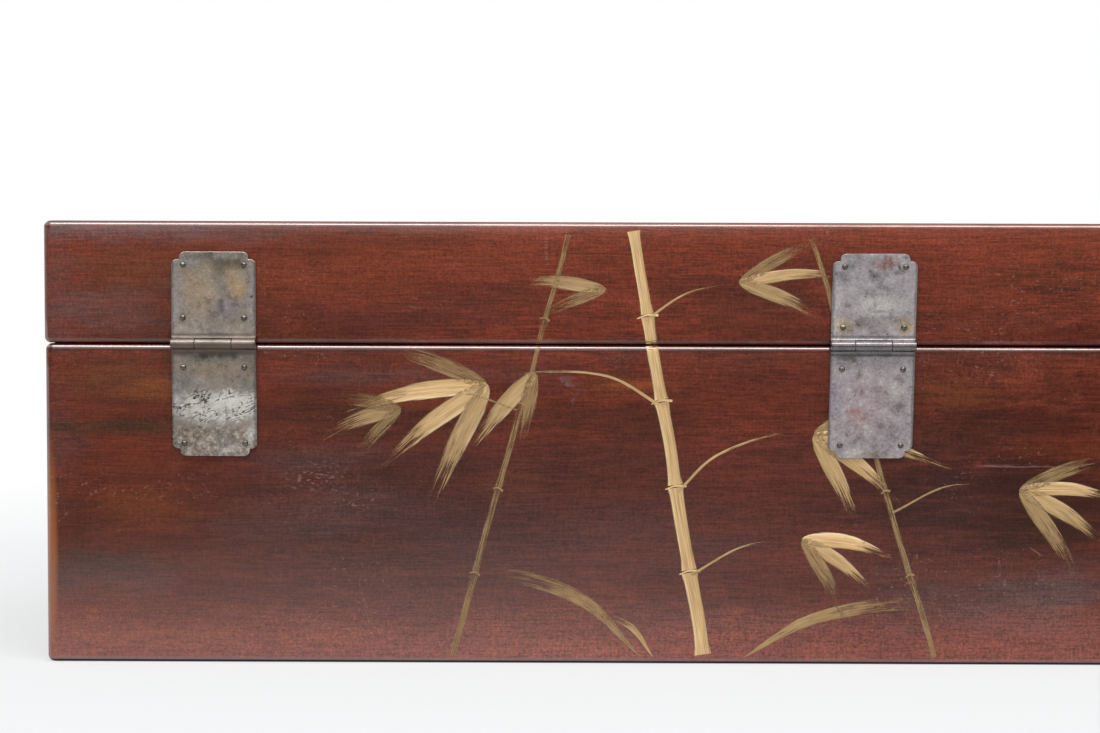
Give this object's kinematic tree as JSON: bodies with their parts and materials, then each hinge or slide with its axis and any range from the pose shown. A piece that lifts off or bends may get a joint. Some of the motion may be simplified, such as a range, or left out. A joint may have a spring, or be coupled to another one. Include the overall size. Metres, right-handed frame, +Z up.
{
  "type": "leather box",
  "caption": "Long low leather-covered wooden box with a hinged lid, strap hinges, a front hasp and a drop handle at each end.",
  "frame": {"origin": "centre of the flat underside", "axes": "+X along the box's length, +Z up, -Y towards the hinged back, which is the side that the picture shows"},
  "size_m": [0.9456, 0.3998, 0.245],
  "materials": {
    "leather": "lacquered, worn, satin",
    "wood": "planed, aged",
    "paper": "aged, matt",
    "metal": "tarnished, worn"
  },
  "bodies": {
    "base": {"base_bottom_board": "wood", "base_back_board": "wood", "base_front_board": "wood", "base_left_board": "wood", "base_right_board": "wood", "base_lip_frame": "wood", "base_wall_leather": "leather", "base_bottom_leather": "leather", "base_lining": "paper", "hinge_left_lower_leaf": "metal", "hinge_left_lower_nail_1": "metal", "hinge_left_lower_nail_2": "metal", "hinge_left_lower_nail_3": "metal", "hinge_left_lower_nail_4": "metal", "hinge_left_pin": "metal", "hinge_centre_lower_leaf": "metal", "hinge_centre_lower_nail_1": "metal", "hinge_centre_lower_nail_2": "metal", "hinge_centre_lower_nail_3": "metal", "hinge_centre_lower_nail_4": "metal", "hinge_centre_pin": "metal", "hinge_right_lower_leaf": "metal", "hinge_right_lower_nail_1": "metal", "hinge_right_lower_nail_2": "metal", "hinge_right_lower_nail_3": "metal", "hinge_right_lower_nail_4": "metal", "hinge_right_pin": "metal", "lock_lug_left": "metal", "lock_lug_right": "metal", "handle_left_eye_pin_back": "metal", "handle_left_eye_pin_front": "metal", "handle_right_eye_pin_back": "metal", "handle_right_eye_pin_front": "metal"},
    "lid": {"lid_top_board": "wood", "lid_back_board": "wood", "lid_front_board": "wood", "lid_left_board": "wood", "lid_right_board": "wood", "lid_leather": "leather", "lid_lining": "paper", "hinge_left_upper_leaf": "metal", "hinge_left_upper_nail_1": "metal", "hinge_left_upper_nail_2": "metal", "hinge_left_upper_nail_3": "metal", "hinge_left_upper_nail_4": "metal", "hinge_centre_upper_leaf": "metal", "hinge_centre_upper_nail_1": "metal", "hinge_centre_upper_nail_2": "metal", "hinge_centre_upper_nail_3": "metal", "hinge_centre_upper_nail_4": "metal", "hinge_right_upper_leaf": "metal", "hinge_right_upper_nail_1": "metal", "hinge_right_upper_nail_2": "metal", "hinge_right_upper_nail_3": "metal", "hinge_right_upper_nail_4": "metal", "hasp_leaf": "metal", "hasp_pin": "metal"},
    "hasp": {"hasp": "metal"},
    "left_bail": {"handle_left_bail": "metal"},
    "right_bail": {"handle_right_bail": "metal"}
  },
  "joints": [
    {"name": "lid_hinge", "type": "hinge", "parent": "base", "child": "lid", "pos_m": [0, -0.193, 0.17725], "axis": [1, 0, 0], "range_deg": [0, 180]},
    {"name": "hasp_swing", "type": "hinge", "parent": "lid", "child": "hasp", "pos_m": [0, 0.193, 0.18925], "axis": [1, 0, 0], "range_deg": [0, 165]},
    {"name": "left_handle_swing", "type": "hinge", "parent": "base", "child": "left_bail", "pos_m": [-0.4662, 0, 0.116], "axis": [0, 1, 0], "range_deg": [-8, 188]},
    {"name": "right_handle_swing", "type": "hinge", "parent": "base", "child": "right_bail", "pos_m": [0.4662, 0, 0.116], "axis": [0, -1, 0], "range_deg": [-8, 188]}
  ]
}
